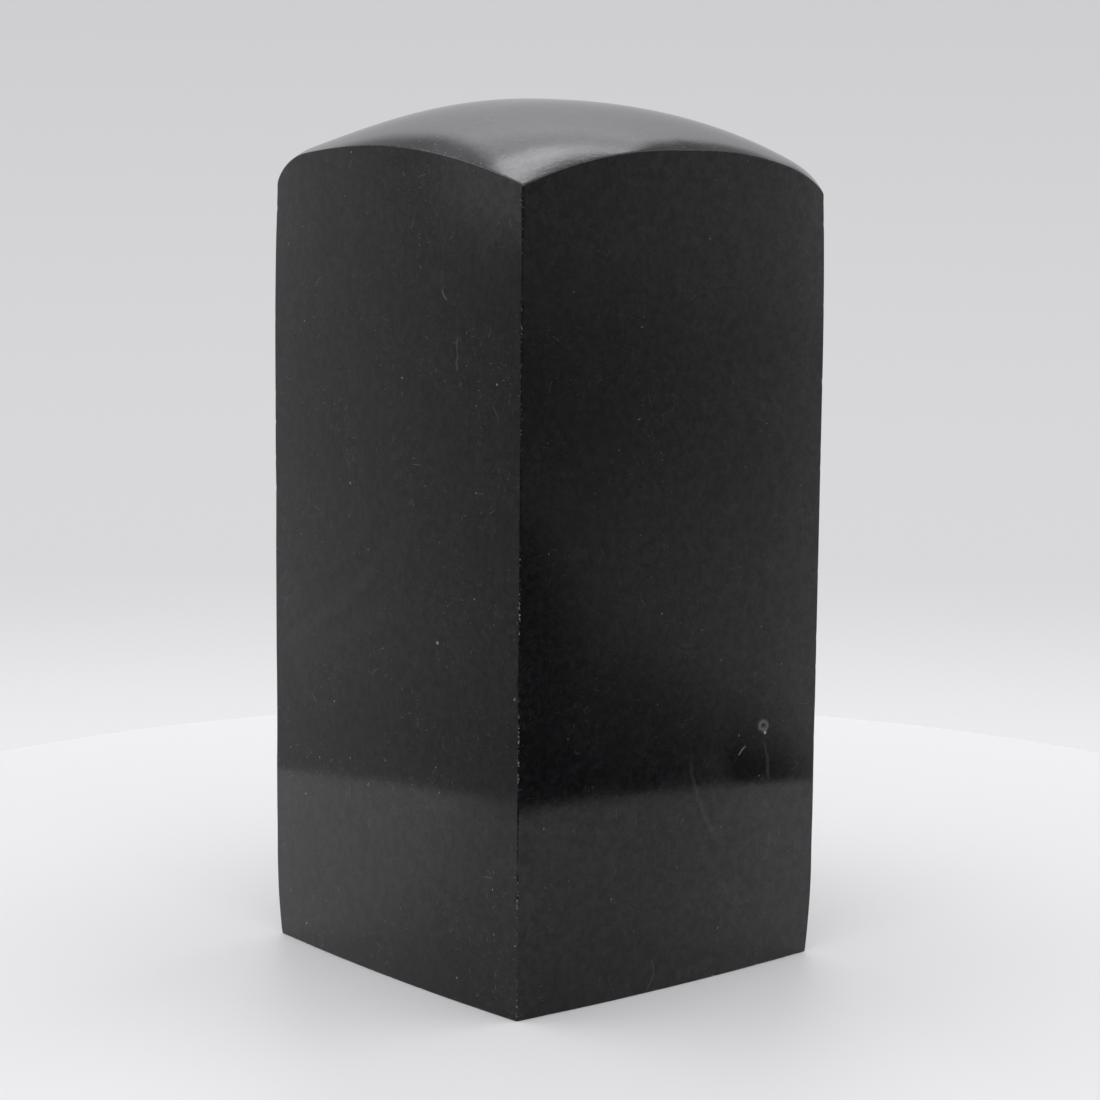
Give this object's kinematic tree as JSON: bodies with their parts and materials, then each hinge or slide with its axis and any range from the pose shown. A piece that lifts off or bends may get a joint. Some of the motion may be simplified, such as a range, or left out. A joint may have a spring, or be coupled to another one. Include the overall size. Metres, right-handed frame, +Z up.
{
  "type": "massage stone",
  "caption": "Square column of polished black stone with slightly bulging sides, a low domed top and a flat base, held in the hand for massage.",
  "frame": {"origin": "centre of the flat base, on the surface that the stone stands on", "axes": "+Z up along the column's long axis; +X and +Y square to the side faces; the front face looks along -Y"},
  "size_m": [0.05, 0.0504, 0.107],
  "materials": {
    "black_stone": "polished"
  },
  "bodies": {
    "root": {"massage_stone": "black_stone"}
  },
  "joints": []
}
